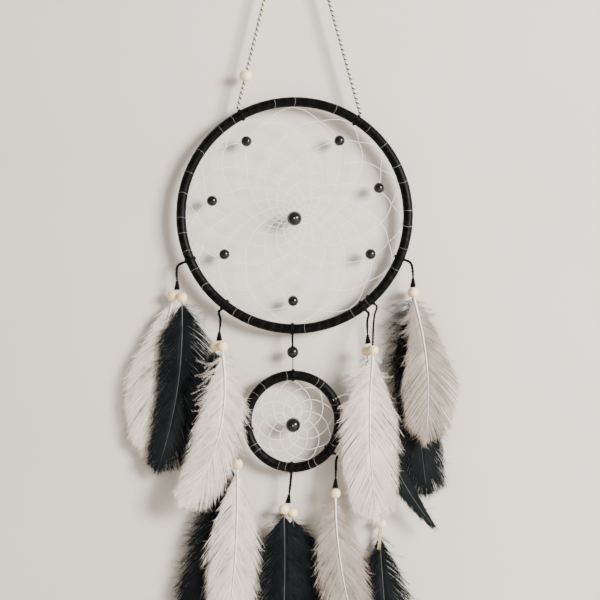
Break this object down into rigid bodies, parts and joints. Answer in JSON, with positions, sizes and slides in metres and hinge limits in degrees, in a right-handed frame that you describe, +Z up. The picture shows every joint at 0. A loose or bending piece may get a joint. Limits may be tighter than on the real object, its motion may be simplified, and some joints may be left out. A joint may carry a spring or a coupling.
{
  "type": "dream catcher",
  "caption": "Wall-hung dream catcher: a large and a small laced hoop with woven thread webs, black beads, and swinging strands of black and white feathers.",
  "frame": {"origin": "point where the wall nail carries the hanging cord, inside the top of its small loop", "axes": "+Z up along the plumb line, +X to the right seen from the room, +Y into the wall; the front faces -Y"},
  "size_m": [0.2173, 0.0226, 0.5625],
  "materials": {
    "hanging_cord": "twisted cream and dark brown cotton",
    "cream_wood": "smooth pale turned wood",
    "black_bead": "polished black",
    "steel_ring": "drawn wire",
    "web_thread": "fine waxed pale thread",
    "white_feather": "soft warm white barbs",
    "black_feather": "soft dyed black barbs",
    "frayed_cord": "frayed tan fibre",
    "black_lace": "matt suede lace"
  },
  "bodies": {
    "large_hoop": {"hanger_cord": "hanging_cord", "hanger_knot": "hanging_cord", "hanger_bead": "cream_wood", "large_hoop_core": "steel_ring", "large_hoop_lace": "black_lace", "large_web_ties": "web_thread", "large_web": "web_thread", "web_bead_1": "black_bead", "web_bead_2": "black_bead", "web_bead_3": "black_bead", "web_bead_4": "black_bead", "web_bead_5": "black_bead", "web_bead_6": "black_bead", "web_bead_7": "black_bead", "large_centre_bead": "black_bead", "large_lace_loops": "black_lace"},
    "link": {"link_cord": "black_lace", "link_bead": "black_bead"},
    "small_hoop": {"small_hoop_core": "steel_ring", "small_hoop_lace": "black_lace", "small_web_ties": "web_thread", "small_web": "web_thread", "small_centre_bead": "black_bead", "small_lace_loops": "black_lace"},
    "outer_left": {"outer_left_cord": "black_lace", "outer_left_beads": "cream_wood", "outer_left_white_feather": "white_feather", "outer_left_black_feather": "black_feather"},
    "inner_left": {"inner_left_cord": "black_lace", "inner_left_beads": "cream_wood", "inner_left_white_feather": "white_feather", "inner_left_black_feather": "black_feather"},
    "inner_right": {"inner_right_cord": "black_lace", "inner_right_beads": "cream_wood", "inner_right_white_feather": "white_feather", "inner_right_black_feather": "black_feather"},
    "long_right": {"long_right_cord": "black_lace", "long_right_bead": "cream_wood", "long_right_fray": "frayed_cord", "long_right_black_feather": "black_feather"},
    "outer_right": {"outer_right_cord": "black_lace", "outer_right_beads": "cream_wood", "outer_right_white_feather": "white_feather", "outer_right_black_feather": "black_feather"},
    "small_left": {"small_left_cord": "black_lace", "small_left_beads": "cream_wood", "small_left_white_feather": "white_feather", "small_left_black_feather": "black_feather"},
    "small_bottom": {"small_bottom_cord": "black_lace", "small_bottom_beads": "cream_wood", "small_bottom_front_feather": "black_feather", "small_bottom_back_feather": "black_feather"},
    "small_right": {"small_right_cord": "black_lace", "small_right_bead": "cream_wood", "small_right_white_feather": "white_feather"}
  },
  "joints": [
    {"name": "link_swing", "type": "hinge", "parent": "large_hoop", "child": "link", "pos_m": [-0.00145, 0, -0.31964], "axis": [0, 1, 0], "range_deg": [-6, 6]},
    {"name": "small_hoop_swing", "type": "hinge", "parent": "link", "child": "small_hoop", "pos_m": [-0.001, 0, -0.33785], "axis": [0, 1, 0], "range_deg": [-6, 6]},
    {"name": "outer_left_swing", "type": "hinge", "parent": "large_hoop", "child": "outer_left", "pos_m": [-0.07654, 0, -0.26899], "axis": [0, 1, 0], "range_deg": [-8, 8]},
    {"name": "inner_left_swing", "type": "hinge", "parent": "large_hoop", "child": "inner_left", "pos_m": [-0.05119, 0, -0.30202], "axis": [0, 1, 0], "range_deg": [-8, 8]},
    {"name": "inner_right_swing", "type": "hinge", "parent": "large_hoop", "child": "inner_right", "pos_m": [0.05004, 0, -0.30291], "axis": [0, 1, 0], "range_deg": [-8, 8]},
    {"name": "long_right_swing", "type": "hinge", "parent": "large_hoop", "child": "long_right", "pos_m": [0.05564, 0, -0.29829], "axis": [0, 1, 0], "range_deg": [-8, 8]},
    {"name": "outer_right_swing", "type": "hinge", "parent": "large_hoop", "child": "outer_right", "pos_m": [0.0771, 0, -0.26765], "axis": [0, 1, 0], "range_deg": [-8, 8]},
    {"name": "small_left_swing", "type": "hinge", "parent": "small_hoop", "child": "small_left", "pos_m": [-0.03808, 0, -0.38204], "axis": [0, 1, 0], "range_deg": [-8, 8]},
    {"name": "small_bottom_swing", "type": "hinge", "parent": "small_hoop", "child": "small_bottom", "pos_m": [-0.00231, 0, -0.41313], "axis": [0, 1, 0], "range_deg": [-8, 8]},
    {"name": "small_right_swing", "type": "hinge", "parent": "small_hoop", "child": "small_right", "pos_m": [0.02867, 0, -0.39868], "axis": [0, 1, 0], "range_deg": [-8, 8]}
  ]
}
